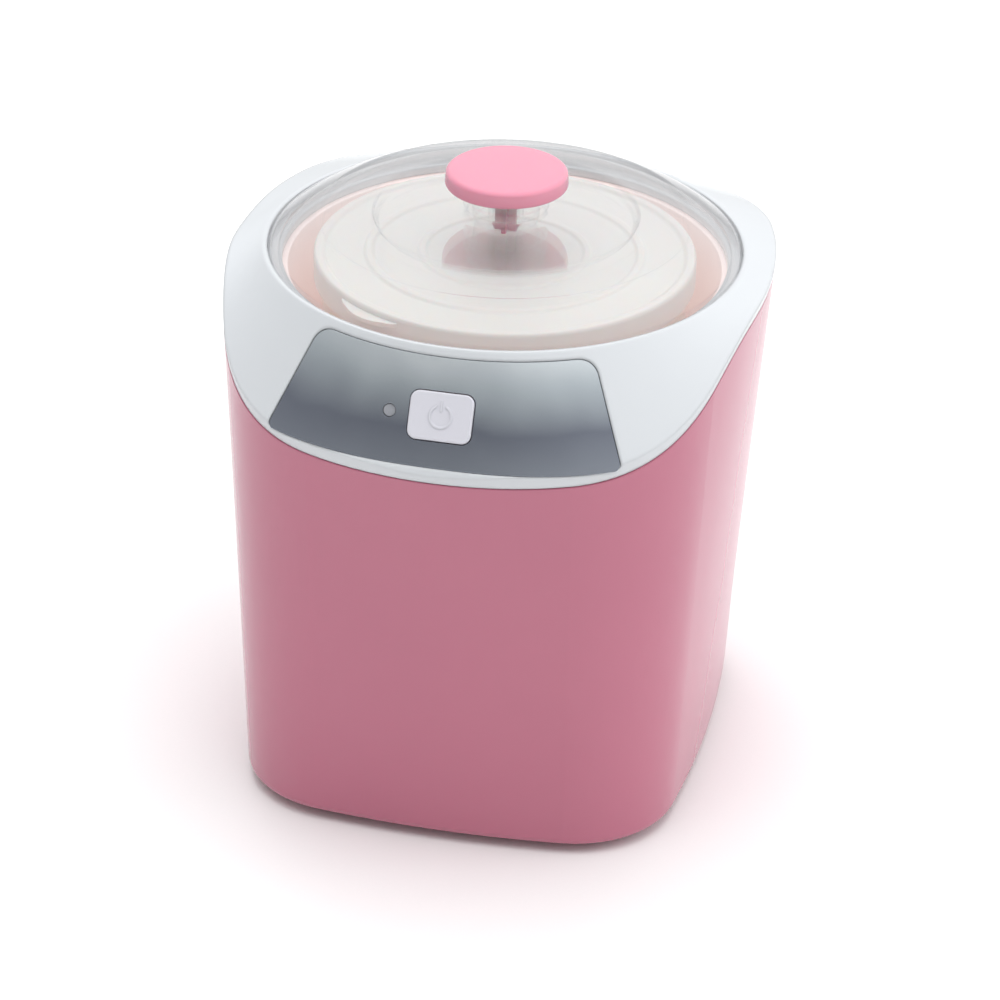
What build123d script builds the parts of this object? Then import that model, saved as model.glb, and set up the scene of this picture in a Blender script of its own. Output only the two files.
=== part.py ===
"""Yogurt maker: pink tub body, white top cover, lift-out container and clear knobbed lid.

Millimetres, +Z up, front towards -Y, origin on the floor under the middle of the body.
"""

import os
from math import atan, atan2, cos, degrees, hypot, pi, radians, sin, tan

from build123d import *

os.makedirs("parts", exist_ok=True)

# ---- overall body ----
foot_height = 3.0
rim_z = 171.5  # plane of the round opening in the top cover
half_width = 85.3  # at the rim plane
half_depth = 92.9  # at the rim plane
side_taper = 0.0755  # shrink of the half width per millimetre downwards
taper = 0.0808  # shrink of the half depth per millimetre downwards
bulge_top = 20.2  # bow of the four sides
bulge_bottom = 6.6
corner_top = 59.0
corner_bottom = 34.0
body_y = -1.05  # centre of the body outline
lid_y = body_y + 4.5  # axis of the well, container and lid
wall = 2.4
bottom_round = 3.0

# ---- joint line between body and top cover ----
joint_side_drop = 4.2
joint_front_drop = 32.7
joint_back_drop = 8.6
joint_start_y = -15.8
joint_front_span = 80.0
joint_gap = 0.35
edge_band = 2.2  # upright edge of the cover above the joint line
edge_floor = 1.6  # thickness of the cover's inward edge at the joint line

# ---- top cover ----
opening_radius = 75.0
lip_radius = opening_radius + 1.5
rebate_depth = 4.0
ledge_radius = 70.3
ledge_thickness = 2.5
collar_thickness = 2.4
tongue_depth = 4.0
tongue_thickness = 1.6
fit_gap = 0.3

# ---- control panel ----
panel_thickness = 0.9
panel_pocket = 1.1
panel_top_z = 169.2
panel_bottom_z = 139.3
panel_top_half = 42.4
panel_bottom_half = 55.5
panel_corner = 8.0
panel_gap = 0.25  # all round, between the plate and its pocket
button_width = 19.6
button_height = 14.8
button_corner = 3.2
button_z = 153.3
button_proud = 0.6
button_gap = 0.35
button_travel = 0.6
led_x = -16.1
led_radius = 1.9

# ---- well ----
well_radius = 68.5
well_wall = 1.5
well_floor_z = 24.5
well_base_radius = 64.0
plate_radius = 52.0
plate_thickness = 3.0

# ---- container ----
container_radius = 58.0
container_base_radius = 54.5
container_wall = 1.8
container_top = 167.0

# ---- lids ----
inner_lid_radius = 60.4
inner_lid_top = 169.2
inner_lid_skirt = 9.0
lid_wall = 2.0
lid_radius = opening_radius - 0.5
shoulder_radius = 58.8
shoulder_z = rim_z + 9.2
step_radius = 42.7
step_z = rim_z + 11.3
neck_radius = 12.2
neck_bulge = 13.5
cap_radius = 19.4
cap_bottom_z = rim_z + 20.4
cap_top_z = rim_z + 25.4

# ---- screws ----
screw_radius = 1.5
pilot_radius = 1.75
head_radius = 3.0
head_thickness = 1.8
boss_radius = 4.0

# ---- base ----
base_inset = 10.0
base_thickness = 2.5
base_z = 3.4


def joint_line(y):
    """Height of the joint line between body and cover at a given y."""
    ahead = min(max((body_y + joint_start_y - y) / joint_front_span, 0), 1)
    behind = max((y - body_y - 10) / half_depth, 0)
    dip = joint_front_drop * (1 - cos(pi * ahead)) / 2
    return rim_z - joint_side_drop - dip - joint_back_drop * behind**2


def body_sizes(level, inset):
    """Half width, half depth, bow and corner radius of the body at one height."""
    down = (rim_z - level) / (rim_z - foot_height)
    wide = half_width - side_taper * (rim_z - level) - inset
    deep = half_depth - taper * (rim_z - level) - inset
    bulge = bulge_top + (bulge_bottom - bulge_top) * down
    corner = corner_top + (corner_bottom - corner_top) * down - inset
    return wide, deep, bulge, corner


def body_outline(level, inset):
    """Filled outline of the body at one height: four bowed sides, round corners."""
    wide, deep, bulge, corner = body_sizes(level, inset)
    side_x = wide - 0.87 * bulge
    front_y, back_y = body_y - deep + bulge, body_y + deep - bulge
    with BuildSketch(Plane.XY.offset(level)) as outline:
        with BuildLine():
            ThreePointArc((side_x, front_y), (wide, body_y), (side_x, back_y))
            ThreePointArc((side_x, back_y), (0, body_y + deep), (-side_x, back_y))
            ThreePointArc((-side_x, back_y), (-wide, body_y), (-side_x, front_y))
            ThreePointArc((-side_x, front_y), (0, body_y - deep), (side_x, front_y))
        make_face()
        fillet(outline.vertices(), corner)
    return outline.sketch


def body_reach(angle, level):
    """Distance from the body centre to its side, angle from +X."""
    wide, deep, _, _ = body_sizes(level, 0)
    power = 2.5 + 2 * (rim_z - level) / rim_z
    return (abs(cos(angle) / wide) ** power + abs(sin(angle) / deep) ** power) ** (-1 / power)


def body_block(low, high, inset):
    """Solid of the body outline between two heights."""
    with BuildPart() as block:
        loft([body_outline(low, inset), body_outline(high, inset)], ruled=True)
    return block.part


def joint_block(shift, thickness):
    """Slab that follows the joint line, from shift up to shift + thickness."""
    stations = [-110 + 20 * step for step in range(12)]
    lower = [(y, joint_line(y) + shift) for y in stations]
    upper = [(y, joint_line(y) + shift + thickness) for y in reversed(stations)]
    with BuildPart() as slab:
        with BuildSketch(Plane.YZ):
            with BuildLine():
                Spline(*lower)
                Line(lower[-1], upper[0])
                Spline(*upper)
                Line(upper[-1], lower[0])
            make_face()
        extrude(amount=110, both=True)
    return slab.part


def cover_form():
    """Everything under the ruled top face that runs from the lip to the joint line."""
    reach_out = 1.35
    lip = []
    skirt = []
    for step in range(24):
        angle = 2 * pi * step / 24
        across, along = cos(angle), sin(angle)
        lip.append((lip_radius * across, lid_y + lip_radius * along, rim_z))
        level = rim_z - 10
        for _ in range(30):
            reach = body_reach(angle, level)
            level += 0.4 * (joint_line(body_y + reach * along) + edge_band - level)
        edge_x, edge_y = reach * across, body_y + reach * along
        start = lip[-1]
        skirt.append(
            (
                start[0] + reach_out * (edge_x - start[0]),
                start[1] + reach_out * (edge_y - start[1]),
                start[2] + reach_out * (level - start[2]),
            )
        )
    base = [(1.02 * x, body_y + 1.02 * (y - body_y), 60.0) for x, y, _ in skirt]
    rings = []
    for ring in (lip, skirt, base):
        rings.append(Wire([Edge.make_spline([Vector(*point) for point in ring], periodic=True)]))
    return Solid.make_loft(rings, ruled=True)


form = cover_form()
lid_axis = Location((0, lid_y, 0))


def turned(points, closed=True):
    """Solid turned about the lid axis from (radius, height) corners."""
    with BuildPart() as ring:
        with BuildSketch(Plane.XZ):
            with BuildLine():
                Polyline(*points, close=closed)
            make_face()
        revolve(axis=Axis.Z)
    return ring.part.moved(lid_axis)


# frame of the front slope: x to the right, y up the slope, z outwards
front_y = body_y - body_reach(-pi / 2, rim_z - 36)
slope_run = lid_y - lip_radius - front_y
slope_fall = rim_z - joint_line(front_y) - edge_band
slope_angle = degrees(atan(slope_fall / slope_run))
button_y = lid_y - lip_radius - (rim_z - button_z) / tan(radians(slope_angle))
slope = Plane(
    origin=(0, button_y, button_z),
    x_dir=(1, 0, 0),
    z_dir=(0, -sin(radians(slope_angle)), cos(radians(slope_angle))),
)
outwards = Axis((0, 0, 0), slope.z_dir)


def on_slope(depth):
    """The slope frame moved outwards by depth, negative goes inside."""
    return slope.offset(depth)


def panel_block(inset):
    """Block through the slope with the outline of the control panel."""
    low_corner = panel_bottom_z + 1.6
    with BuildPart() as block:
        with BuildSketch(Plane.XZ.offset(50)):
            with BuildLine():
                Line((-panel_bottom_half, low_corner), (-panel_top_half, panel_top_z))
                Line((-panel_top_half, panel_top_z), (panel_top_half, panel_top_z))
                Line((panel_top_half, panel_top_z), (panel_bottom_half, low_corner))
                ThreePointArc(
                    (panel_bottom_half, low_corner),
                    (0, panel_bottom_z),
                    (-panel_bottom_half, low_corner),
                )
            make_face()
            if inset:
                offset(amount=-inset, kind=Kind.INTERSECTION, mode=Mode.REPLACE)
        extrude(amount=60)
        fillet(block.edges().filter_by(Axis.Y).group_by(Axis.Z)[-1], panel_corner - inset)
        fillet(block.edges().filter_by(Axis.Y).group_by(Axis.Z)[0], 1.6 - inset)
    return block.part


corner_spots = [(50, 34), (-50, 34), (50, -34), (-50, -34)]
tie_spots = []
for turn_angle in (47, 133, -133, -47):
    tie_spots.append((83 * cos(radians(turn_angle)), body_y + 83 * sin(radians(turn_angle))))
tie_z = 126.0
ear_spots = []
for turn_angle in (38, 142, -135, -45):
    ear_spots.append((74.6 * cos(radians(turn_angle)), lid_y + 74.6 * sin(radians(turn_angle))))
ear_z = rim_z - 18
board_screw_spots = [(-17.6, -9.5), (17.6, -9.5)]
gland_z = 20.0
gland_tilt = degrees(atan(taper))
gland_y = body_y + body_sizes(gland_z, 0)[1]
gland_plane = Plane(
    origin=(0, gland_y, gland_z),
    x_dir=(-1, 0, 0),
    z_dir=(0, cos(radians(gland_tilt)), -sin(radians(gland_tilt))),
)
gland_bore = 3.3
gland_radius = 6.4
feet_spots = [(38, 52), (-38, 52), (38, -52), (-38, -52)]

# ---- pink outer body ----
with BuildPart() as fittings:
    # posts for the base screws, each with a rib to the side wall
    with BuildSketch(Plane.XY.offset(base_z + base_thickness + 0.2)):
        with Locations(*corner_spots):
            Circle(boss_radius)
        with Locations((62, 34), (-62, 34), (62, -34), (-62, -34)):
            Rectangle(24, 2.4)
    extrude(amount=16)
    # corner shelves that the cover is screwed down to
    with BuildSketch(Plane.XY.offset(tie_z - 3)):
        for x, y in tie_spots:
            with Locations(Location((1.06 * x, 1.06 * y, 0), (0, 0, degrees(atan2(y, x))))):
                SlotOverall(22, 11)
    extrude(amount=3)
    add(body_block(foot_height, rim_z, wall / 2), mode=Mode.INTERSECT)
with BuildPart() as outer_body:
    loft([body_outline(foot_height, 0), body_outline(rim_z + 2, 0)], ruled=True)
    fillet(outer_body.faces().sort_by(Axis.Z)[0].edges(), bottom_round)
    add(body_block(foot_height + 2.6, rim_z + 3, wall), mode=Mode.SUBTRACT)
    add(body_block(foot_height - 1, foot_height + 4, base_inset), mode=Mode.SUBTRACT)
    add(fittings.part)
    add(joint_block(-joint_gap, 60), mode=Mode.SUBTRACT)
    with BuildSketch(Plane.XY.offset(base_z)):
        with Locations(*corner_spots):
            Circle(pilot_radius)
    extrude(amount=16, mode=Mode.SUBTRACT)
    with BuildSketch(Plane.XY.offset(tie_z - 4)):
        with Locations(*tie_spots):
            Circle(pilot_radius)
    extrude(amount=6, mode=Mode.SUBTRACT)
    # hole for the cord gland
    with BuildSketch(gland_plane.offset(-8)):
        Circle(gland_radius + fit_gap)
    extrude(amount=16, mode=Mode.SUBTRACT)
outer_body.part.label = "outer_body"
export_step(outer_body.part, "parts/outer_body.step")

# ---- white top cover ----
shell_inner = wall + fit_gap
cover_inset = shell_inner + tongue_thickness
ledge_low = rim_z - rebate_depth - ledge_thickness
with BuildPart() as cover_fittings:
    # collar and ledge of the round opening
    with BuildSketch(Plane.XY.offset(ledge_low)):
        with Locations((0, lid_y)):
            Circle(opening_radius + collar_thickness)
    extrude(amount=rim_z - ledge_low + 1)
    # bosses for the ties to the body and for the well screws
    with BuildSketch(Plane.XY.offset(tie_z + 0.2)):
        with Locations(*tie_spots):
            Circle(boss_radius)
    extrude(amount=rim_z - tie_z)
    with BuildSketch(Plane.XY.offset(ear_z + 0.2)):
        with Locations(*ear_spots):
            Circle(2.9)
    extrude(amount=rim_z - rebate_depth - 1 - ear_z)
    # bosses for the control board
    with BuildSketch(on_slope(-9.2)):
        with Locations(*board_screw_spots):
            Circle(2.6)
    extrude(amount=8)
    add(form.moved(Location((0, 0.5, -0.5))), mode=Mode.INTERSECT)
with BuildPart() as tongue:
    # tongue that drops inside the body
    add(body_block(94, rim_z + 3, shell_inner))
    add(joint_block(-tongue_depth, tongue_depth + edge_floor / 2), mode=Mode.INTERSECT)
    add(body_block(93, rim_z + 4, cover_inset + 0.4), mode=Mode.SUBTRACT)
with BuildPart() as cavity:
    # room under the top skin, above the thick edge at the joint line
    add(body_block(94, rim_z + 5, wall))
    add(form.moved(Location((0, 1.2, -3.0))), mode=Mode.INTERSECT)
    add(joint_block(edge_floor, 60), mode=Mode.INTERSECT)
with BuildPart() as top_cover:
    add(body_block(95, rim_z + 4, 0))
    add(joint_block(0, 60), mode=Mode.INTERSECT)
    add(form, mode=Mode.INTERSECT)
    add(cavity.part, mode=Mode.SUBTRACT)
    with BuildPart(mode=Mode.PRIVATE) as throat:
        add(body_block(94, rim_z + 6, cover_inset))
        add(joint_block(-20, 20 + edge_floor + 0.4), mode=Mode.INTERSECT)
        add(form.moved(Location((0, 1.7, -3.5))), mode=Mode.INTERSECT)
    add(throat.part, mode=Mode.SUBTRACT)
    add(tongue.part)
    add(cover_fittings.part)
    with BuildSketch(Plane.XY.offset(rim_z - rebate_depth)):
        with Locations((0, lid_y)):
            Circle(opening_radius)
    extrude(amount=12, mode=Mode.SUBTRACT)
    with BuildSketch(Plane.XY.offset(ledge_low - 2)):
        with Locations((0, lid_y)):
            Circle(ledge_radius)
    extrude(amount=12, mode=Mode.SUBTRACT)
    with BuildSketch(Plane.XY.offset(tie_z)):
        with Locations(*tie_spots):
            Circle(pilot_radius)
    extrude(amount=9, mode=Mode.SUBTRACT)
    with BuildSketch(Plane.XY.offset(ear_z)):
        with Locations(*ear_spots):
            Circle(1.45)
    extrude(amount=7, mode=Mode.SUBTRACT)
    # pocket for the panel, then the holes for button and light
    with BuildPart(mode=Mode.PRIVATE) as pocket:
        add(panel_block(0))
        add(form.moved(Location((0, panel_pocket, 0))), mode=Mode.SUBTRACT)
    add(pocket.part, mode=Mode.SUBTRACT)
    with BuildSketch(on_slope(-6)):
        RectangleRounded(button_width + 2 * button_gap, button_height + 2 * button_gap, button_corner)
    extrude(amount=8, mode=Mode.SUBTRACT)
    with BuildSketch(on_slope(-6)):
        with Locations((led_x, 0.2)):
            Circle(led_radius + 0.2)
    extrude(amount=8, mode=Mode.SUBTRACT)
    with BuildSketch(on_slope(-10)):
        with Locations(*board_screw_spots):
            Circle(1.2)
    extrude(amount=5.5, mode=Mode.SUBTRACT)
top_cover.part.label = "top_cover"
export_step(top_cover.part, "parts/top_cover.step")

# ---- control panel film plate ----
with BuildPart() as control_panel:
    add(panel_block(panel_gap))
    add(form.moved(Location((0, panel_pocket - 0.1, 0))), mode=Mode.SUBTRACT)
    add(form.moved(Location((0, panel_pocket - 0.1 - panel_thickness, 0))), mode=Mode.INTERSECT)
    with BuildSketch(on_slope(-6)):
        RectangleRounded(button_width + 2 * button_gap, button_height + 2 * button_gap, button_corner)
        with Locations((led_x, 0.2)):
            Circle(led_radius + 0.2)
    extrude(amount=8, mode=Mode.SUBTRACT)
control_panel.part.label = "control_panel"
export_step(control_panel.part, "parts/control_panel.step")

# ---- power button with a raised symbol ----
flange_depth = 4.6
plunger_radius = 1.2
with BuildPart() as power_button:
    with BuildSketch(on_slope(-flange_depth)):
        RectangleRounded(button_width, button_height, button_corner - button_gap)
    extrude(amount=flange_depth + button_proud)
    fillet(power_button.faces().sort_by(outwards)[-1].edges(), 0.5)
    with BuildSketch(on_slope(-flange_depth - 1.0)):
        RectangleRounded(button_width + 2.4, button_height + 2.4, button_corner)
    extrude(amount=1.0)
    with BuildSketch(on_slope(-flange_depth - 1.0)):
        Circle(plunger_radius)
    extrude(amount=-0.6)
    with BuildSketch(on_slope(button_proud - 0.1)):
        Circle(3.7)
        Circle(3.0, mode=Mode.SUBTRACT)
        with Locations((0, 3.2)):
            Rectangle(2.6, 2.4, mode=Mode.SUBTRACT)
            SlotOverall(3.6, 0.7, rotation=90)
    extrude(amount=0.35)
power_button.part.label = "power_button"
export_step(power_button.part, "parts/power_button.step")

# ---- light guide and lamp ----
with BuildPart() as indicator_lens:
    with BuildSketch(on_slope(-5.6)):
        with Locations((led_x, 0.2)):
            Circle(led_radius)
    extrude(amount=4.3)
    with BuildSketch(on_slope(-6.4)):
        with Locations((led_x, 0.2)):
            Circle(led_radius + 0.9)
    extrude(amount=0.8)
indicator_lens.part.label = "indicator_lens"
export_step(indicator_lens.part, "parts/indicator_lens.step")

board_face = -9.4  # front face of the control board behind the slope
board_thickness = 1.2
with BuildPart() as indicator_led:
    with BuildSketch(on_slope(board_face + 0.1)):
        with Locations((led_x, 0.2)):
            Circle(1.9)
    extrude(amount=0.8)
    with BuildSketch(on_slope(board_face + 0.9)):
        with Locations((led_x, 0.2)):
            Circle(1.5)
    extrude(amount=1.8)
    fillet(indicator_led.faces().sort_by(outwards)[-1].edges(), 1.0)
indicator_led.part.label = "indicator_led"
export_step(indicator_led.part, "parts/indicator_led.step")

# ---- control board and what it carries ----
board_low, board_high = -17.0, 5.0
board_half = 21.5
with BuildPart() as control_board:
    with BuildSketch(on_slope(board_face - board_thickness)):
        with Locations((0, (board_low + board_high) / 2)):
            Rectangle(2 * board_half, board_high - board_low)
        with Locations(*board_screw_spots):
            Circle(pilot_radius, mode=Mode.SUBTRACT)
    extrude(amount=board_thickness)
control_board.part.label = "control_board"
export_step(control_board.part, "parts/control_board.step")

with BuildPart() as board_components:
    with BuildSketch(on_slope(board_face + 0.1)):
        with Locations((-6, -12.5)):
            Circle(3.2)
        with Locations((4, -12.5)):
            Rectangle(7.5, 5)
    extrude(amount=3.0)
    with BuildSketch(on_slope(board_face + 0.1)):
        with Locations((12, -1.5), (12, 1.5)):
            SlotOverall(6, 2)
        with Locations((-11, -9)):
            Rectangle(5, 4)
    extrude(amount=1.8)
board_components.part.label = "board_components"
export_step(board_components.part, "parts/board_components.step")

with BuildPart() as board_screws:
    with BuildSketch(on_slope(board_face - board_thickness - 0.1)):
        with Locations(*board_screw_spots):
            Circle(2.3)
    extrude(amount=-1.3)
    with BuildSketch(on_slope(board_face - board_thickness - 0.1)):
        with Locations(*board_screw_spots):
            Circle(1.0)
    extrude(amount=5)
board_screws.part.label = "board_screws"
export_step(board_screws.part, "parts/board_screws.step")

# ---- tactile switch under the button ----
switch_top = -6.6
with BuildPart() as push_switch:
    with BuildSketch(on_slope(board_face + 0.1)):
        Rectangle(6, 6)
    extrude(amount=switch_top - board_face - 0.1)
    with BuildSketch(on_slope(switch_top)):
        Circle(plunger_radius + fit_gap)
    extrude(amount=-2.2, mode=Mode.SUBTRACT)
push_switch.part.label = "push_switch"
export_step(push_switch.part, "parts/push_switch.step")

with BuildPart() as switch_plunger:
    with BuildSketch(on_slope(switch_top - 1.2)):
        Circle(plunger_radius)
    extrude(amount=-flange_depth - 1.6 - 0.05 - (switch_top - 1.2))
switch_plunger.part.label = "switch_plunger"
export_step(switch_plunger.part, "parts/switch_plunger.step")

# ---- well liner ----
flange_top = ledge_low - 0.3
with BuildPart() as well_liner:
    add(
        turned(
            [
                (well_radius, flange_top),
                (well_radius + well_wall + 0.9, flange_top),
                (well_radius + well_wall + 0.9, flange_top - 1.8),
                (well_radius + well_wall, flange_top - 2.4),
                (well_base_radius + well_wall, well_floor_z - well_wall),
                (plate_radius - 6, well_floor_z - well_wall),
                (plate_radius - 6, well_floor_z),
                (well_base_radius, well_floor_z),
            ]
        )
    )
    with BuildSketch(Plane.XY.offset(ear_z - 2)):
        with Locations(*ear_spots):
            Circle(3.6)
        for spot in ear_spots:
            turn = degrees(atan2(spot[1] - lid_y, spot[0]))
            with Locations(Location((0.965 * spot[0], lid_y + 0.965 * (spot[1] - lid_y)), turn)):
                Rectangle(5, 7.2)
        with Locations(*ear_spots):
            Circle(pilot_radius, mode=Mode.SUBTRACT)
    extrude(amount=2)
    with BuildSketch(Plane.XY.offset(well_floor_z - 4)):
        with Locations((0, lid_y)):
            with PolarLocations(49, 3, start_angle=30):
                Circle(pilot_radius)
    extrude(amount=8, mode=Mode.SUBTRACT)
well_liner.part.label = "well_liner"
export_step(well_liner.part, "parts/well_liner.step")


def screw_up(spots, seat, length, shank=screw_radius, head=head_radius):
    """Pan-head screws driven upwards, head under the seat plane."""
    with BuildPart() as screws:
        with BuildSketch(Plane.XY.offset(seat - head_thickness)):
            with Locations(*spots):
                Circle(head)
        extrude(amount=head_thickness)
        with BuildSketch(Plane.XY.offset(seat)):
            with Locations(*spots):
                Circle(shank)
        extrude(amount=length)
        with BuildSketch(Plane.XY.offset(seat - head_thickness)):
            with Locations(*spots):
                Rectangle(2 * head - 2.2, 0.7)
                Rectangle(0.7, 2 * head - 2.2)
        extrude(amount=1.0, mode=Mode.SUBTRACT)
    return screws.part


well_screws = screw_up(ear_spots, ear_z - 2.1, 7.5, 1.2, 2.4)
well_screws.label = "well_screws"
export_step(well_screws, "parts/well_screws.step")

cover_screws = screw_up(tie_spots, tie_z - 3.1, 10)
cover_screws.label = "cover_screws"
export_step(cover_screws, "parts/cover_screws.step")

# ---- heating plate under the container and the parts fixed to it ----
plate_z = well_floor_z + 0.2
plate_spots = []
for turn_angle in (30, 150, 270):
    plate_spots.append((49 * cos(radians(turn_angle)), lid_y + 49 * sin(radians(turn_angle))))
with BuildPart() as heating_plate:
    with BuildSketch(Plane.XY.offset(plate_z)):
        with Locations((0, lid_y)):
            Circle(plate_radius)
    extrude(amount=plate_thickness)
    chamfer(heating_plate.faces().sort_by(Axis.Z)[-1].edges(), 0.6)
    with BuildSketch(Plane.XY.offset(plate_z)):
        with Locations(*plate_spots):
            Circle(1.4)
    extrude(amount=2.2, mode=Mode.SUBTRACT)
heating_plate.part.label = "heating_plate"
export_step(heating_plate.part, "parts/heating_plate.step")

plate_screws = screw_up(plate_spots, well_floor_z - well_wall - 0.1, 3.4, 1.2, 2.4)
plate_screws.label = "plate_screws"
export_step(plate_screws, "parts/plate_screws.step")

with BuildPart() as heater_ring:
    with BuildSketch(Plane.XY.offset(plate_z - 2.3)):
        with Locations((0, lid_y)):
            Circle(42)
            Circle(24, mode=Mode.SUBTRACT)
    extrude(amount=2.1)
    with BuildSketch(Plane.XY.offset(plate_z - 4.8)):
        with Locations((-6, lid_y + 33), (6, lid_y + 33)):
            Rectangle(4, 7)
    extrude(amount=2.7)
heater_ring.part.label = "heater_ring"
export_step(heater_ring.part, "parts/heater_ring.step")

with BuildPart() as thermostat:
    with BuildSketch(Plane.XY.offset(plate_z - 7.2)):
        with Locations((0, lid_y)):
            Circle(8)
    extrude(amount=7)
    with BuildSketch(Plane.XY.offset(plate_z - 8.0)):
        with Locations((0, lid_y)):
            Rectangle(22, 4.5)
    extrude(amount=0.8)
thermostat.part.label = "thermostat"
export_step(thermostat.part, "parts/thermostat.step")

with BuildPart() as thermal_fuse:
    with BuildSketch(Plane.YZ.offset(-6)):
        with Locations((lid_y - 16, plate_z - 2.6)):
            Circle(1.9)
    extrude(amount=12)
    with BuildSketch(Plane.YZ.offset(-9)):
        with Locations((lid_y - 16, plate_z - 2.6)):
            Circle(0.5)
    extrude(amount=18)
thermal_fuse.part.label = "thermal_fuse"
export_step(thermal_fuse.part, "parts/thermal_fuse.step")

# ---- bottom cover, feet and screws ----
plate_outline = base_inset + 0.3
with BuildPart() as bottom_cover:
    loft(
        [body_outline(base_z, plate_outline), body_outline(base_z + base_thickness, plate_outline)],
        ruled=True,
    )
    with BuildSketch(Plane.XY.offset(base_z - 1)):
        with Locations(*corner_spots):
            Circle(pilot_radius)
        with Locations(*feet_spots):
            Circle(2.9)
        with Locations((0, -2)):
            with GridLocations(6, 26, 9, 2):
                SlotOverall(18, 2.4, rotation=90)
    extrude(amount=6, mode=Mode.SUBTRACT)
    with BuildSketch(Plane.XY.offset(base_z + base_thickness)):
        with Locations((0, body_y)):
            Rectangle(76, 92)
            Rectangle(73, 89, mode=Mode.SUBTRACT)
    extrude(amount=2.4)
    with BuildSketch(Plane.XY.offset(base_z + base_thickness)):
        with Locations(*feet_spots):
            Circle(4.6)
    extrude(amount=3, mode=Mode.SUBTRACT)
bottom_cover.part.label = "bottom_cover"
export_step(bottom_cover.part, "parts/bottom_cover.step")

with BuildPart() as feet:
    with BuildSketch(Plane.XY):
        with Locations(*feet_spots):
            Circle(7)
    extrude(amount=base_z - 0.1)
    chamfer(feet.faces().group_by(Axis.Z)[0].edges(), 0.7)
    with BuildSketch(Plane.XY.offset(base_z - 0.1)):
        with Locations(*feet_spots):
            Circle(2.5)
    extrude(amount=base_thickness + 0.3)
    with BuildSketch(Plane.XY.offset(base_z + base_thickness + 0.2)):
        with Locations(*feet_spots):
            Circle(3.3)
    extrude(amount=1.4)
feet.part.label = "feet"
export_step(feet.part, "parts/feet.step")

base_screws = screw_up(corner_spots, base_z - 0.1, 13)
base_screws.label = "base_screws"
export_step(base_screws, "parts/base_screws.step")

# ---- cord gland in the back wall ----
with BuildPart() as cord_gland:
    with BuildSketch(gland_plane.offset(0.4)):
        Circle(gland_radius + 1.8)
    extrude(amount=2.2)
    with BuildSketch(gland_plane.offset(-5.6)):
        Circle(gland_radius)
    extrude(amount=6)
    with BuildSketch(gland_plane.offset(-5.6)):
        Circle(gland_radius + 1.4)
    extrude(amount=2.4)
    with BuildSketch(gland_plane.offset(-6)):
        Circle(gland_bore)
    extrude(amount=10, mode=Mode.SUBTRACT)
    chamfer(cord_gland.faces().sort_by(Axis.Y)[-1].edges(), 0.5)
cord_gland.part.label = "cord_gland"
export_step(cord_gland.part, "parts/cord_gland.step")

# ---- terminal block and inside wiring ----
terminal_y = 42.0
with BuildPart() as terminal_block:
    with Locations((0, terminal_y, 8.6 + 4)):
        Box(22, 9, 8)
    with Locations((-6, terminal_y, 8.6 + 8.7), (6, terminal_y, 8.6 + 8.7)):
        Cylinder(2.6, 1.4)
    with Locations((-6, terminal_y, 12), (6, terminal_y, 12)):
        Cylinder(2.3, 10, rotation=(90, 0, 0), mode=Mode.SUBTRACT)
terminal_block.part.label = "terminal_block"
export_step(terminal_block.part, "parts/terminal_block.step")

wire_radius = 0.9
bend_radius = 3.0
routes = []
for side in (-1, 1):
    routes.append(
        [
            (6 * side, terminal_y - 3.5, 12),
            (6 * side, terminal_y - 7.2, 12),
            (6 * side, terminal_y - 7.2, plate_z - 5.0),
        ]
    )
    routes.append(
        [
            (6 * side, terminal_y + 3.5, 12),
            (6 * side, 55, 12),
            (43 * side, 55, 12),
            (43 * side, -58, 12),
            (43 * side, -59, 112),
            (18 * side, -77.8, 121),
            (8 * side, -80.5, 131.0),
        ]
    )
with BuildPart() as wiring:
    for route in routes:
        with BuildLine() as path:
            FilletPolyline(*route, radius=bend_radius)
        with BuildSketch(Plane(origin=path.line @ 0, z_dir=path.line % 0)):
            Circle(wire_radius)
        sweep(path=path.line)
wiring.part.label = "wiring"
export_step(wiring.part, "parts/wiring.step")

# ---- lift-out container ----
container_base = plate_z + plate_thickness + 0.3
with BuildPart() as inner_container:
    add(
        turned(
            [
                (0, container_base + 1.2),
                (container_base_radius - 8, container_base + 1.2),
                (container_base_radius - 8.5, container_base),
                (container_base_radius - 3, container_base),
                (container_base_radius, container_base + 3),
                (container_radius, container_top - 3),
                (container_radius + 0.9, container_top - 2.6),
                (container_radius + 0.9, container_top - 0.6),
                (container_radius + 0.3, container_top),
                (container_radius - container_wall + 0.3, container_top),
                (container_radius - container_wall, container_top - 1),
                (container_base_radius - container_wall, container_base + 5),
                (container_base_radius - container_wall - 3, container_base + 3),
                (0, container_base + 3),
            ]
        )
    )
inner_container.part.label = "inner_container"
export_step(inner_container.part, "parts/inner_container.step")

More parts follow.
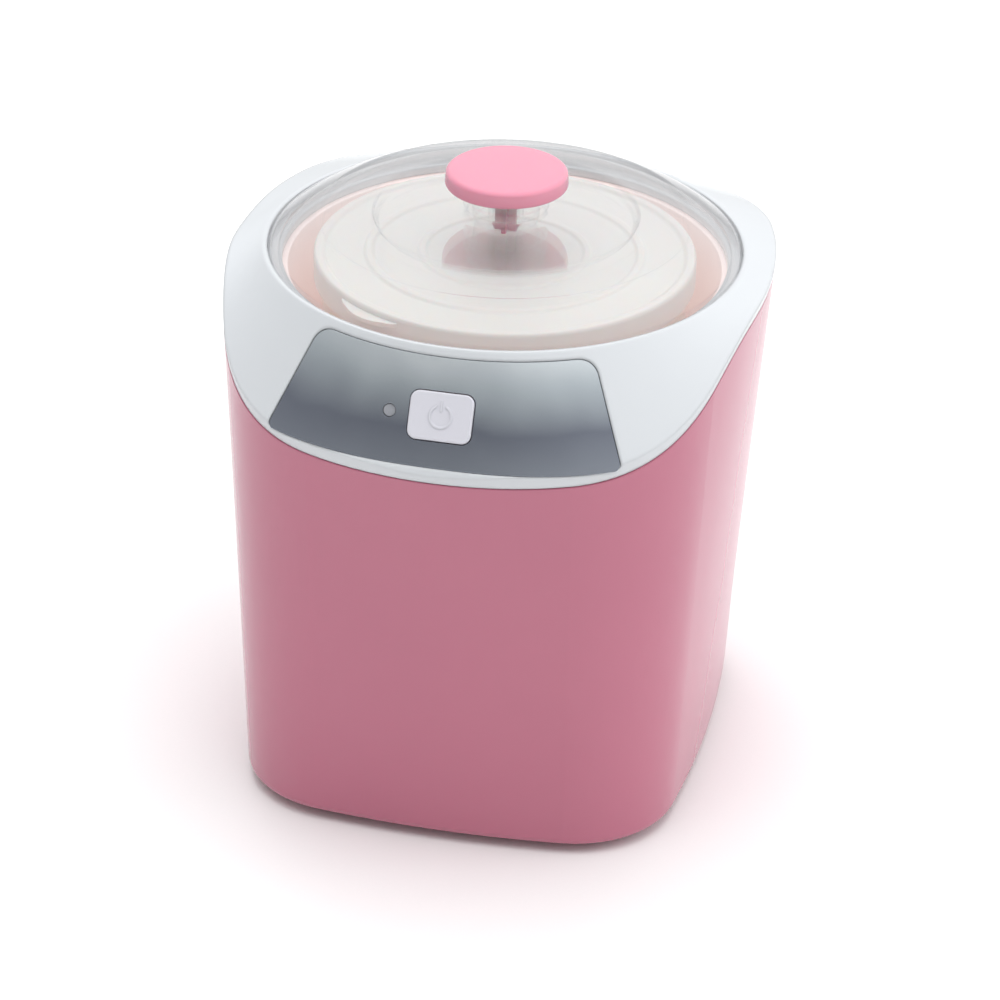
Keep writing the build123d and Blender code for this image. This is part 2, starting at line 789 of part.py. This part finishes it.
# ---- container lid with pull tab ----
plug_outer = container_radius - container_wall - 1.0
plate_low = container_top + 0.35
with BuildPart() as container_lid:
    add(
        turned(
            [
                (0, plate_low),
                (inner_lid_radius - 1.1, plate_low),
                (inner_lid_radius - 1.1, inner_lid_top - inner_lid_skirt),
                (inner_lid_radius, inner_lid_top - inner_lid_skirt),
                (inner_lid_radius, inner_lid_top - 0.8),
                (inner_lid_radius - 0.8, inner_lid_top),
                (inner_lid_radius - 2.6, inner_lid_top),
                (inner_lid_radius - 3.4, plate_low + 1.3),
                (44, plate_low + 1.3),
                (43.5, plate_low + 2.1),
                (42, plate_low + 2.1),
                (41.5, plate_low + 1.3),
                (27, plate_low + 1.3),
                (26.5, plate_low + 1.9),
                (25, plate_low + 1.9),
                (24.5, plate_low + 1.3),
                (0, plate_low + 1.3),
            ]
        )
    )
    # inner plug wall
    add(
        turned(
            [
                (plug_outer - 1.4, plate_low + 0.2),
                (plug_outer - 1.4, plate_low - 6),
                (plug_outer, plate_low - 6),
                (plug_outer, plate_low + 0.2),
            ]
        )
    )
    # pull tab at the front left
    tab_turn = radians(-122)
    tab_x = inner_lid_radius * cos(tab_turn)
    tab_y = lid_y + inner_lid_radius * sin(tab_turn)
    with BuildSketch(Plane.XY.offset(inner_lid_top - 3.2)):
        with Locations(Location((tab_x, tab_y), degrees(tab_turn))):
            RectangleRounded(8.4, 24, 3.6)
        with Locations((0, lid_y)):
            Circle(inner_lid_radius - 0.6, mode=Mode.SUBTRACT)
    extrude(amount=1.5)
container_lid.part.label = "container_lid"
export_step(container_lid.part, "parts/container_lid.step")

with BuildPart() as container_seal:
    add(
        turned(
            [
                (plug_outer + 0.05, plate_low - 5),
                (plug_outer + 0.05, plate_low - 2.4),
                (plug_outer + 0.65, plate_low - 3.2),
                (plug_outer + 0.65, plate_low - 4.2),
            ]
        )
    )
container_seal.part.label = "container_seal"
export_step(container_seal.part, "parts/container_seal.step")

# ---- clear outer lid with hollow neck ----
ledge_top = rim_z - rebate_depth
neck_top = cap_bottom_z - 0.3
dish_z = step_z - 2.2
with BuildPart() as outer_lid:
    add(
        turned(
            [
                (ledge_radius + 1.0, ledge_top + 0.2),
                (lid_radius, ledge_top + 0.2),
                (lid_radius, rim_z - 0.6),
                (lid_radius - 1.0, rim_z + 0.6),
                (shoulder_radius + 2.6, shoulder_z - 1.6),
                (shoulder_radius, shoulder_z),
                (step_radius + 0.6, step_z),
                (step_radius - 0.6, step_z - 0.4),
                (step_radius - 1.4, dish_z),
                (neck_radius + 1.4, dish_z),
                (neck_radius, dish_z + 1.4),
                (neck_radius, dish_z + 3.4),
                (neck_bulge, dish_z + 4.4),
                (neck_bulge, dish_z + 5.8),
                (neck_radius + 0.4, dish_z + 6.8),
                (neck_radius + 0.8, neck_top),
                (neck_radius - 1.2, neck_top),
                (neck_radius - 1.8, dish_z - 0.6),
                (5.6, dish_z - 0.6),
                (5.6, neck_top),
                (4.0, neck_top),
                (4.0, dish_z - lid_wall),
                (step_radius - 2.6, dish_z - lid_wall),
                (step_radius - 1.4, step_z - lid_wall),
                (shoulder_radius - 0.6, shoulder_z - lid_wall),
                (lid_radius - 3.4, rim_z - 1.0),
                (ledge_radius + 1.0, ledge_top + 2.2),
            ]
        )
    )
outer_lid.part.label = "outer_lid"
export_step(outer_lid.part, "parts/outer_lid.step")

# ---- pink knob cap with a snap stem ----
stem_low = dish_z - lid_wall - 2.4
with BuildPart() as lid_knob:
    add(
        turned(
            [
                (0, cap_bottom_z),
                (cap_radius - 0.4, cap_bottom_z),
                (cap_radius, cap_bottom_z + 0.6),
                (cap_radius - 0.3, cap_top_z - 1.8),
                (cap_radius - 1.2, cap_top_z - 0.5),
                (cap_radius - 3.0, cap_top_z),
                (0, cap_top_z + 0.5),
            ]
        )
    )
    with BuildSketch(Plane.XY.offset(stem_low)):
        with Locations((0, lid_y)):
            Rectangle(6.8, 1.6)
            Rectangle(1.6, 6.8)
    extrude(amount=cap_bottom_z + 1 - stem_low)
    with BuildSketch(Plane.XY.offset(stem_low)):
        with Locations((0, lid_y)):
            Rectangle(9.0, 1.6)
            Rectangle(1.6, 9.0)
    extrude(amount=2.1)
lid_knob.part.label = "lid_knob"
export_step(lid_knob.part, "parts/lid_knob.step")
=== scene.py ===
from math import cos, pi, radians, sin, sqrt

import bmesh
import bpy
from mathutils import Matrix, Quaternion, Vector


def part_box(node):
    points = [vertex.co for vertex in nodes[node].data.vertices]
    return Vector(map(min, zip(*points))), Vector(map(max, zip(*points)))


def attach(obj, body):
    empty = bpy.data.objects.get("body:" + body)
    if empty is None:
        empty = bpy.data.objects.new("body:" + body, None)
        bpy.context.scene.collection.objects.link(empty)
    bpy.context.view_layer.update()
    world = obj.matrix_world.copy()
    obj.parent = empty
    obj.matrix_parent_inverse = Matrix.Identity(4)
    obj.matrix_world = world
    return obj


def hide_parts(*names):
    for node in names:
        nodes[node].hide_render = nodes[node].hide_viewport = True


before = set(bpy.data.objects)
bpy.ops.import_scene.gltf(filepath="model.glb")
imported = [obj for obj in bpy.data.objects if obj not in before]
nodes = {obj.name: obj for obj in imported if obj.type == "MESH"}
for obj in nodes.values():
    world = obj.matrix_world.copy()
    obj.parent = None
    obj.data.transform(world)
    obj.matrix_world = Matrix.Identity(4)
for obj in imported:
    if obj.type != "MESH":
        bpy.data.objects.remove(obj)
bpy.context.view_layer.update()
mm = 0.001

# Pink tub. One glossy injection-moulded polypropylene shell, open at the top and bottom.
# The pigment varies a little and the polished skin has faint ripples and a soft sheen.


class Sock:
    """A shader socket that can be used in Python sums."""

    def __init__(self, graph, socket):
        self.graph = graph
        self.socket = socket

    def maths(self, operation, other, turned=False):
        values = [other, self] if turned else [self, other]
        return self.graph.node("ShaderNodeMath", {"operation": operation}, dict(enumerate(values)))

    def __add__(self, other):
        return self.maths("ADD", other)

    def __mul__(self, other):
        return self.maths("MULTIPLY", other)

    def __sub__(self, other):
        return self.maths("SUBTRACT", other)

    def __truediv__(self, other):
        return self.maths("DIVIDE", other)

    def __pow__(self, other):
        return self.maths("POWER", other)

    def __rsub__(self, other):
        return self.maths("SUBTRACT", other, turned=True)

    def __rtruediv__(self, other):
        return self.maths("DIVIDE", other, turned=True)

    def __rpow__(self, other):
        return self.maths("POWER", other, turned=True)

    __radd__ = __add__
    __rmul__ = __mul__


class Graph:
    """A node tree of a material or of the world."""

    def __init__(self, tree):
        self.tree = tree

    def node(self, kind, settings=None, inputs=None, output=0):
        made = self.tree.nodes.new(kind)
        for key, value in (settings or {}).items():
            if key == "stops":
                ramp = made.color_ramp.elements
                while len(ramp) < len(value):
                    ramp.new(0.5)
                for stop, (place, colour) in zip(ramp, value):
                    stop.position = place
                    stop.color = (*colour, 1)
            else:
                setattr(made, key, value)
        for key, value in (inputs or {}).items():
            if isinstance(value, Sock):
                self.tree.links.new(value.socket, made.inputs[key])
            else:
                made.inputs[key].default_value = value
        return Sock(self, made.outputs[output])

    def ramp(self, factor, *stops):
        return self.node("ShaderNodeValToRGB", {"stops": stops}, {"Fac": factor})


class Finish(Graph):
    """A material with one Principled shader at its end."""

    def __init__(self, name, **fixed):
        self.material = bpy.data.materials.new(name)
        self.material.use_nodes = True
        super().__init__(self.material.node_tree)
        self.skin = self.tree.nodes["Principled BSDF"]
        for socket, value in fixed.items():
            self.skin.inputs[socket.replace("_", " ")].default_value = value

    def place(self):
        return self.node("ShaderNodeTexCoord", output="Object")

    def grain(self, scale, detail=2.0, rough=0.5):
        inputs = {"Vector": self.place(), "Scale": scale, "Detail": detail, "Roughness": rough}
        return self.node("ShaderNodeTexNoise", None, inputs)

    def blend(self, factor, first, second):
        """Colour mix; sockets 6 and 7 of the Mix node are its two colours."""
        first, second = [c if isinstance(c, Sock) else (*c, 1) for c in (first, second)]
        inputs = {0: factor, 6: first, 7: second}
        return self.node("ShaderNodeMix", {"data_type": "RGBA"}, inputs, output=2)

    def feed(self, socket, value):
        self.tree.links.new(value.socket, self.skin.inputs[socket])

    def relief(self, height, depth, edge=0.0):
        """Bump from a height field, over normals softened at the part's edges."""
        inputs = {"Height": height, "Distance": depth}
        if edge:
            inputs["Normal"] = self.node("ShaderNodeBevel", {"samples": 8}, {"Radius": edge})
        self.feed("Normal", self.node("ShaderNodeBump", None, inputs))

    def coat(self, *parts):
        for part in parts:
            part.data.materials.clear()
            part.data.materials.append(self.material)
            for face in part.data.polygons:
                face.material_index = 0


def moulded(name, low, high, rough, ripple, edge, **fixed):
    """Glossy moulded plastic: pigment drift, polish variation, ripples and soft edges."""
    finish = Finish(name, **fixed)
    drift = finish.grain(14.0, 3.0)
    finish.feed("Base Color", finish.blend(drift, low, high))
    scuffs = finish.grain(420.0, 4.0, 0.65)
    finish.feed("Roughness", scuffs * 0.05 + drift * 0.06 + (rough - 0.05))
    finish.relief(finish.grain(55.0, 1.0), ripple, edge)
    return finish


moulded(
    "gloss_pink_shell",
    low=(0.46, 0.125, 0.20),
    high=(0.50, 0.145, 0.22),
    rough=0.24,
    ripple=0.04 * mm,
    edge=0.9 * mm,
    Specular_IOR_Level=0.6,
    Coat_Weight=0.3,
    Coat_Roughness=0.06,
).coat(nodes["outer_body"])

# White top cover. Glossy white moulding with a round opening and a steep front slope.
# Its tongue drops inside the tub all round and four screws hold it down.
moulded(
    "gloss_white_cover",
    low=(0.60, 0.625, 0.655),
    high=(0.64, 0.665, 0.69),
    rough=0.2,
    ripple=0.04 * mm,
    edge=1.4 * mm,
    Coat_Weight=0.3,
    Coat_Roughness=0.05,
).coat(nodes["top_cover"])

# Control panel. A thin plate with a silvered grey film, stuck in a pocket on the slope.
# The film's grey is painted dark across its middle and pale at its top edge, a painted reflection of
# the dark room in front and the bright sky above, with a fine metallic fleck.
panel_film = Finish("silver_panel_film", Metallic=0.85, IOR=1.5)
height = panel_film.node("ShaderNodeSeparateXYZ", None, {0: panel_film.place()}, output="Z")
fade_start, fade_height, cloud_share = 137 * mm, 33 * mm, 0.5
# Painted reflection: the film's grey runs from dark to pale with height and is blotched by noise.
fade = (height - fade_start) / fade_height
cloud = panel_film.grain(26.0, 2.0)
film_with_painted_reflection = panel_film.ramp(
    fade + cloud * cloud_share - cloud_share / 2,
    (0.0, (0.30, 0.33, 0.38)),
    (0.4, (0.19, 0.21, 0.26)),
    (0.75, (0.52, 0.58, 0.62)),
    (1.0, (0.80, 0.86, 0.90)),
)
fleck = panel_film.grain(2600.0, 2.0, 0.7)
panel_film.feed("Base Color", panel_film.blend(fleck * 0.06, film_with_painted_reflection, (0.75, 0.77, 0.8)))
panel_film.feed("Roughness", fleck * 0.08 + 0.18)
panel_film.relief(fleck, 0.003 * mm, 0.3 * mm)
panel_film.coat(nodes["control_panel"])

# Power button. A loose white key with a raised power symbol, guided by the cover's hole.
# It is moulded in a cooler white than the cover and pushes the switch on the board.
moulded(
    "key_white",
    low=(0.64, 0.64, 0.70),
    high=(0.68, 0.68, 0.74),
    rough=0.28,
    ripple=0.02 * mm,
    edge=0.6 * mm,
    Coat_Weight=0.15,
).coat(nodes["power_button"])

# Status light. A short grey-tinted light guide beside the key, pushed into the panel, with
# a lamp of pale resin on the board behind it.


def resin(name, part, low, high, scale, rough, bump=0.0, **fixed):
    """Hazy resin: a fine haze in its colour and its gloss, with relief if bump isn't zero."""
    finish = Finish(name, **fixed)
    haze = finish.grain(scale)
    finish.feed("Base Color", finish.blend(haze, low, high))
    finish.feed("Roughness", haze * 0.1 + rough)
    if bump:
        finish.relief(haze, bump, 0.3 * mm)
    finish.coat(nodes[part])


resin(
    "light_guide",
    "indicator_lens",
    low=(0.28, 0.29, 0.32),
    high=(0.36, 0.37, 0.4),
    scale=900.0,
    rough=0.12,
    bump=0.01 * mm,
    IOR=1.49,
)
resin(
    "lamp_resin",
    "indicator_led",
    low=(0.75, 0.8, 0.82),
    high=(0.85, 0.88, 0.9),
    scale=800.0,
    rough=0.1,
    IOR=1.5,
)

# Well. Pale pink moulded liner hung from the cover's ledge, with a flange and screw ears.
# Its thin wall carries a faint painted glow, standing in for light from the opening that scatters
# through it.
moulded(
    "well_pink",
    low=(0.90, 0.74, 0.71),
    high=(0.93, 0.80, 0.78),
    rough=0.3,
    ripple=0.05 * mm,
    edge=0.8 * mm,
    Coat_Weight=0.1,
    # Painted glow: this emission stands in for light scattering through the wall.
    Emission_Color=(1.0, 0.74, 0.70, 1),
    Emission_Strength=0.22,
).coat(nodes["well_liner"])

# Heating plate. Turned aluminium disc in the floor of the well, held by three screws, with
# fine lathe rings and a slightly worn shine.
plate = Finish("turned_aluminium", Metallic=1.0)
rings = plate.node(
    "ShaderNodeTexWave",
    {"wave_type": "RINGS", "rings_direction": "Z"},
    {"Vector": plate.place(), "Scale": 260.0, "Distortion": 0.6},
    output="Fac",
)
worn = plate.grain(60.0, 4.0)
plate.feed("Base Color", plate.blend(worn, (0.62, 0.63, 0.65), (0.78, 0.78, 0.79)))
plate.feed("Roughness", rings * 0.12 + worn * 0.1 + 0.24)
plate.relief(rings, 0.02 * mm, 0.4 * mm)
plate.coat(nodes["heating_plate"])

# Inner parts. Silicone heater, thermostat, fuse, board, switch, terminals, wires and the
# zinc-plated screws; each is an ordinary bought part in its usual material.


def plain(name, low, high, rough, scale, bump, *parts, **fixed):
    """Small-part finish: two close tones in a fine grain with matching relief."""
    finish = Finish(name, **fixed)
    speck = finish.grain(scale, 3.0, 0.6)
    finish.feed("Base Color", finish.blend(speck, low, high))
    finish.feed("Roughness", speck * 0.2 + (rough - 0.1))
    finish.relief(speck, bump * mm, 0.3 * mm)
    finish.coat(*[nodes[part] for part in parts])


plain("heater_silicone", (0.42, 0.07, 0.03), (0.52, 0.1, 0.05), 0.6, 700.0, 0.05, "heater_ring")
dark_parts = ("thermostat", "board_components", "push_switch")
plain("dark_moulding", (0.01, 0.01, 0.012), (0.03, 0.03, 0.03), 0.45, 900.0, 0.02, *dark_parts)
plain(
    "fuse_metal", (0.6, 0.55, 0.45), (0.7, 0.66, 0.58), 0.3, 500.0, 0.01, "thermal_fuse", Metallic=1.0
)
plain("board_green", (0.01, 0.09, 0.03), (0.02, 0.14, 0.05), 0.35, 600.0, 0.01, "control_board")
plain("plunger_white", (0.75, 0.75, 0.74), (0.82, 0.82, 0.8), 0.5, 700.0, 0.01, "switch_plunger")
plain("terminal_white", (0.76, 0.74, 0.66), (0.82, 0.8, 0.72), 0.45, 600.0, 0.02, "terminal_block")
plain("wire_red", (0.5, 0.015, 0.01), (0.6, 0.03, 0.02), 0.4, 800.0, 0.01, "wiring")
screws = [f"{held}_screws" for held in ("board", "well", "cover", "plate", "base")]
plain("zinc_steel", (0.5, 0.51, 0.52), (0.68, 0.68, 0.7), 0.32, 420.0, 0.01, *screws, Metallic=1.0)

# Base. A matt white plate with vent slots, screwed on from below, with four grey rubber feet
# and a white rubber gland low in the tub's back wall.
plain("base_white", (0.72, 0.72, 0.72), (0.78, 0.78, 0.78), 0.55, 1500.0, 0.06, "bottom_cover")
plain("foot_rubber", (0.09, 0.09, 0.1), (0.13, 0.13, 0.14), 0.75, 900.0, 0.06, "feet")
plain("gland_rubber", (0.7, 0.7, 0.7), (0.78, 0.78, 0.78), 0.65, 900.0, 0.04, "cord_gland")

# Container. Milky translucent polypropylene pot that stands loose on the heating plate and
# lifts out by its rim.
moulded(
    "milky_pot",
    low=(0.80, 0.76, 0.70),
    high=(0.84, 0.81, 0.75),
    rough=0.32,
    ripple=0.05 * mm,
    edge=0.6 * mm,
    Subsurface_Weight=0.3,
    Subsurface_Scale=0.004,
).coat(nodes["inner_container"])

# Container lid. Soft milky polyethylene press-on lid with ring ridges and a pull tab that
# grows out of its rim; a silicone ring under it seals the pot.
lid_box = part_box("outer_lid")
axis_y = (lid_box[0].y + lid_box[1].y) / 2  # of the container and both lids


def solid_object(name, made):
    """Smooth-shaded object from a bmesh, which is freed."""
    mesh = bpy.data.meshes.new(name)
    made.to_mesh(mesh)
    made.free()
    mesh.shade_smooth()
    built = bpy.data.objects.new(name, mesh)
    bpy.context.collection.objects.link(built)
    return built


def around(radius, turn, height):
    """Point in metres at a radius, an angle and a height in millimetres about the lid axis."""
    return (mm * radius * cos(turn), axis_y + mm * radius * sin(turn), mm * height)


def softened(corners):
    """Closed outline from (radius, height, rounding) corners in millimetres."""
    arc_steps, most_of_side = 5, 0.49
    outline = []
    for index, (r, z, rounding) in enumerate(corners):
        here = Vector((r, z))
        if rounding == 0:
            outline.append(here)
            continue
        before = Vector(corners[index - 1][:2]) - here
        after = Vector(corners[(index + 1) % len(corners)][:2]) - here
        back = min(rounding, most_of_side * before.length, most_of_side * after.length)
        start, end = here + before.normalized() * back, here + after.normalized() * back
        for step in range(arc_steps + 1):
            t = step / arc_steps
            outline.append(start * (1 - t) ** 2 + here * 2 * t * (1 - t) + end * t**2)
    return outline


def spun(name, corners, spokes=160):
    """Object turned about the lid axis from a softened closed outline."""
    made = bmesh.new()
    outline = softened(corners)
    rows = []
    for spoke in range(spokes):
        turn = 2 * pi * spoke / spokes
        rows.append([made.verts.new(around(r, turn, z)) for r, z in outline])
    for here, there in zip(rows, rows[1:] + rows[:1]):
        for step in range(len(outline)):
            after = (step + 1) % len(outline)
            made.faces.new((here[step], there[step], there[after], here[after]))
    bmesh.ops.remove_doubles(made, verts=made.verts, dist=1e-7)
    bmesh.ops.recalc_face_normals(made, faces=made.faces)
    return solid_object(name, made)


rim_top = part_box("container_lid")[1].z / mm
rim_r = 60.4
skirt = 9.0
web_top = rim_top - 0.9
web_low = rim_top - 1.85
milky_lid = spun(
    "milky_lid_shell",
    [
        (0.0, web_low, 0),
        (rim_r - 1.1, web_low, 0.3),
        (rim_r - 1.1, rim_top - skirt, 0.3),
        (rim_r, rim_top - skirt, 0.3),
        (rim_r, rim_top - 1.0, 1.2),
        (rim_r - 0.6, rim_top, 0.6),
        (rim_r - 2.8, rim_top, 0.8),
        (rim_r - 3.8, web_top, 0.8),
        # outer ridge
        (44.6, web_top, 0.6),
        (43.8, web_top + 0.8, 0.6),
        (42.0, web_top + 0.8, 0.6),
        (41.2, web_top, 0.6),
        # inner ridge
        (27.6, web_top, 0.6),
        (26.8, web_top + 0.7, 0.6),
        (25.2, web_top + 0.7, 0.6),
        (24.4, web_top, 0.6),
        (0.0, web_top, 0),
    ],
)


def tongue_tab(name, turn, reach, half, thick, top):
    """Rounded pull tab that grows out of the lid rim and droops to a thinner edge."""
    last_row, last_column = 8, 16
    root, droop, narrowing = 0.8, 0.5, 0.45
    made = bmesh.new()
    layers = []
    for drop in (0, thick):
        sheet = []
        for row in range(last_row + 1):
            out = row / last_row
            width = half * (1 - narrowing * out**2.5)
            line = []
            for column in range(last_column + 1):
                side = 2 * column / last_column - 1
                bow = sqrt(1 - side**2 * 0.55)
                r = rim_r - root + (reach + root) * out * bow
                along = turn + side * width / rim_r
                line.append(made.verts.new(around(r, along, top - droop * out - drop)))
            sheet.append(line)
        layers.append(sheet)
    for sheet in layers:
        for one, two in zip(sheet, sheet[1:]):
            for k in range(last_column):
                made.faces.new((one[k], one[k + 1], two[k + 1], two[k]))
    upper, lower = layers
    border = [(row, 0) for row in range(last_row)]
    border += [(last_row, column) for column in range(last_column)]
    border += [(row, last_column) for row in range(last_row, 0, -1)]
    border += [(0, column) for column in range(last_column, 0, -1)]
    for (r0, c0), (r1, c1) in zip(border, border[1:] + border[:1]):
        made.faces.new((upper[r0][c0], upper[r1][c1], lower[r1][c1], lower[r0][c0]))
    bmesh.ops.recalc_face_normals(made, faces=made.faces)
    tab = solid_object(name, made)
    softer = tab.modifiers.new("soft_edge", "BEVEL")
    softer.width = 0.35 * mm
    softer.segments = 3
    return tab


pull_tab = tongue_tab("pull_tab", radians(-122), reach=3.4, half=12.5, thick=1.3, top=rim_top - 1.7)
# The lid carries a faint painted glow from its emission. It fills in the shade under the knob and
# stands in for light passing through the lid.
soft_lid = moulded(
    "milky_lid",
    low=(0.56, 0.55, 0.53),
    high=(0.62, 0.61, 0.59),
    rough=0.34,
    ripple=0.1 * mm,
    edge=0.0,
    Emission_Color=(1.0, 0.95, 0.93, 1),
    Emission_Strength=0.1,
    Subsurface_Weight=0.3,
    Subsurface_Scale=0.003,
)
for piece in (milky_lid, pull_tab):
    soft_lid.coat(piece)
    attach(piece, "lid_inner")
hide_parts("container_lid")
plain("seal_silicone", (0.8, 0.8, 0.8), (0.86, 0.86, 0.86), 0.5, 500.0, 0.03, "container_seal")

# Outer lid. Clear styrene moulding with a hollow neck; it mirrors by angle and lets the
# rest through. It rests loose in the cover's rebate and lifts off with the knob.
rim = lid_box[0].z / mm + 3.8  # level with the cover's rim
dish = rim + 9.1  # floor of the dish inside the raised step
cap_low = rim + 20.4
clear_shell = spun(
    "clear_lid_shell",
    [
        # rim, shoulder and step, from outside in
        (71.3, rim - 3.8, 0.3),
        (74.5, rim - 3.8, 0.4),
        (74.5, rim - 0.3, 0.9),
        (73.2, rim + 1.2, 1.6),
        (67.0, rim + 5.4, 3.0),
        (60.8, rim + 8.6, 1.6),
        (59.4, rim + 9.3, 0.4),
        (58.6, rim + 9.3, 0.3),
        (58.0, rim + 9.0, 0.4),
        (44.4, rim + 11.0, 0.5),
        (43.4, rim + 11.35, 0.5),
        (42.2, rim + 11.2, 0.7),
        (41.3, dish, 0.9),
        # neck with its bead, up to the knob and down inside
        (13.8, dish, 1.4),
        (12.2, dish + 1.4, 0.8),
        (12.1, dish + 3.4, 0.6),
        (13.5, dish + 4.3, 0.7),
        (13.5, dish + 5.9, 0.7),
        (12.4, dish + 6.8, 0.6),
        (13.0, cap_low - 0.3, 0.3),
        (11.2, cap_low - 0.3, 0.3),
        (10.4, dish - 0.6, 0.8),
        # inner tube for the stem
        (5.6, dish - 0.6, 0.5),
        (5.5, cap_low - 0.4, 0.3),
        (4.2, cap_low - 0.4, 0.3),
        (4.2, dish - 2.0, 0.3),
        # underside, from the middle out
        (40.0, dish - 2.0, 0.9),
        (41.4, rim + 9.3, 0.9),
        (58.0, rim + 7.2, 1.2),
        (66.2, rim + 3.5, 3.0),
        (71.4, rim - 0.7, 1.0),
        (71.3, rim - 1.6, 0.4),
    ],
    spokes=200,
)
clear = Finish("clear_lid", Metallic=1.0, IOR=1.5)
ripple = clear.grain(40.0, 2.0)
smear = clear.grain(160.0, 4.0, 0.6)
glance = clear.node("ShaderNodeLayerWeight", None, {"Blend": 0.5}, output="Facing")
# Painted shade: the reflection tint greys where the surface turns edge-on, drawing dark lines along
# the lid's edges.
sheen = clear.ramp(glance + smear * 0.05, (0.4, (1.0, 1.0, 1.0)), (0.97, (0.85, 0.85, 0.87)))
clear.feed("Base Color", sheen)
clear.feed("Roughness", smear * 0.05 + 0.02)
clear.relief(ripple, 0.06 * mm)
clear.feed("Alpha", glance**2.6 * 0.8 + smear * 0.03 + 0.06)
clear.coat(clear_shell)
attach(clear_shell, "lid_outer")
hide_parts("outer_lid")

# Knob cap. Glossy pink disc whose cross-shaped stem snaps into the neck of the clear lid.
# Each blade of the stem ends in a barb that is narrower below, so that it can be pushed in.
knob_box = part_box("lid_knob")
cap_top = knob_box[1].z / mm
cap_r = (knob_box[1].x - knob_box[0].x) / mm / 2
stem_low = knob_box[0].z / mm
cap = spun(
    "knob_cap",
    [
        (0.0, cap_low, 0),
        (cap_r - 0.5, cap_low, 0.3),
        (cap_r, cap_low + 0.6, 0.5),
        (cap_r - 0.25, cap_top - 1.1, 0.9),
        (cap_r - 1.3, cap_top - 0.35, 1.1),
        (cap_r - 9.0, cap_top - 0.1, 4.0),
        (0.0, cap_top - 0.05, 0),
    ],
)


def stem_bar(name, size, middle, foot=1.0):
    """One moulded blade of the stem with soft edges; its lower end is foot times as wide."""
    made = bmesh.new()
    bmesh.ops.create_cube(made, size=1)
    wide_axis = 0 if size[0] > size[1] else 1
    for vert in made.verts:
        if vert.co.z < 0:
            vert.co[wide_axis] *= foot
        x, y, z = (side * share for side, share in zip(size, vert.co))
        vert.co = (mm * x, axis_y + mm * y, mm * (middle + z))
    bmesh.ops.bevel(made, geom=made.edges, offset=0.2 * mm, segments=3, affect="EDGES", profile=0.5)
    return solid_object(name, made)


shaft_middle = (stem_low + cap_low) / 2 + 0.3
shaft_long = cap_low - stem_low + 0.4
barb_middle = stem_low + 1.05
knob_parts = [
    cap,
    stem_bar("stem_blade", (6.8, 1.6, shaft_long), shaft_middle),
    stem_bar("stem_blade_cross", (1.6, 6.8, shaft_long), shaft_middle),
    stem_bar("stem_barb", (8.8, 1.5, 2.0), barb_middle, foot=0.8),
    stem_bar("stem_barb_cross", (1.5, 8.8, 2.0), barb_middle, foot=0.8),
]
knob_pink = moulded(
    "gloss_pink_knob",
    low=(0.72, 0.27, 0.37),
    high=(0.76, 0.30, 0.40),
    rough=0.22,
    ripple=0.03 * mm,
    edge=0.0,
    Coat_Weight=0.4,
    Coat_Roughness=0.05,
    Subsurface_Weight=0.15,
    Subsurface_Scale=0.003,
)
for piece in knob_parts:
    knob_pink.coat(piece)
    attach(piece, "lid_outer")
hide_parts("lid_knob")

# Setting. A wide flat floor of pale paper, three soft boxes that leave no glare on the
# plastic, and a white surround that is brighter above and behind than in front.
bpy.ops.mesh.primitive_grid_add(x_subdivisions=8, y_subdivisions=8, size=24)
floor = bpy.context.object
floor.name = "pale_floor"
paper = Finish("pale_paper")
tooth = paper.grain(900.0, 2.0)
paper.feed("Base Color", paper.blend(tooth, (0.93, 0.93, 0.93), (0.96, 0.96, 0.96)))
paper.feed("Roughness", tooth * 0.1 + 0.7)
paper.coat(floor)

world = bpy.data.worlds.new("soft_white")
bpy.context.scene.world = world
world.use_nodes = True
surround = Graph(world.node_tree)
bright_way = (0.3, 0.5, 0.8)
towards = surround.node(
    "ShaderNodeVectorMath",
    {"operation": "DOT_PRODUCT"},
    {0: surround.node("ShaderNodeTexCoord", output="Generated"), 1: bright_way},
    output="Value",
)
spread = surround.node(
    "ShaderNodeMapRange", None, {"Value": towards, "From Min": -0.9, "From Max": 0.9}
)
shade = surround.ramp(spread, (0.05, (0.1, 0.1, 0.1)), (0.8, (1.0, 1.0, 1.0)))
backdrop = surround.tree.nodes["Background"]
surround.tree.links.new(shade.socket, backdrop.inputs["Color"])
backdrop.inputs["Strength"].default_value = 0.85


def soft_box(name, place, size, watts):
    """Area light turned towards the middle of the object."""
    lamp = bpy.data.lights.new(name, "AREA")
    lamp.shape = "RECTANGLE"
    lamp.size, lamp.size_y = size
    lamp.energy = watts
    stand = bpy.data.objects.new(name, lamp)
    stand.location = place
    aim = Vector((0, 0, 0.1)) - Vector(place)
    stand.rotation_euler = aim.to_track_quat("-Z", "Y").to_euler()
    stand.visible_glossy = False
    bpy.context.collection.objects.link(stand)


soft_box("key_right", (1.5, 0.1, 0.9), (0.9, 0.9), 5)
soft_box("top_back", (-0.2, 0.9, 1.5), (1.2, 0.8), 6)
soft_box("overhead", (0.0, -0.25, 1.7), (1.6, 1.6), 15)

# Camera. A long lens a little above and to the right of the front, rolled slightly.
lens = bpy.data.cameras.new("camera")
lens.sensor_width = 36
lens.lens = 151.2
lens.clip_start = 0.05
viewer = bpy.data.objects.new("camera", lens)
eye = Vector((0.25268, -1.16724, 0.7393))
target = Vector((0.01266, -0.05437, 0.11167))
roll = Quaternion((0, 0, 1), radians(1.33))
viewer.location = eye
viewer.rotation_mode = "QUATERNION"
viewer.rotation_quaternion = (target - eye).to_track_quat("-Z", "Y") @ roll
bpy.context.collection.objects.link(viewer)
bpy.context.scene.camera = viewer
bpy.context.scene.view_settings.view_transform = "Standard"
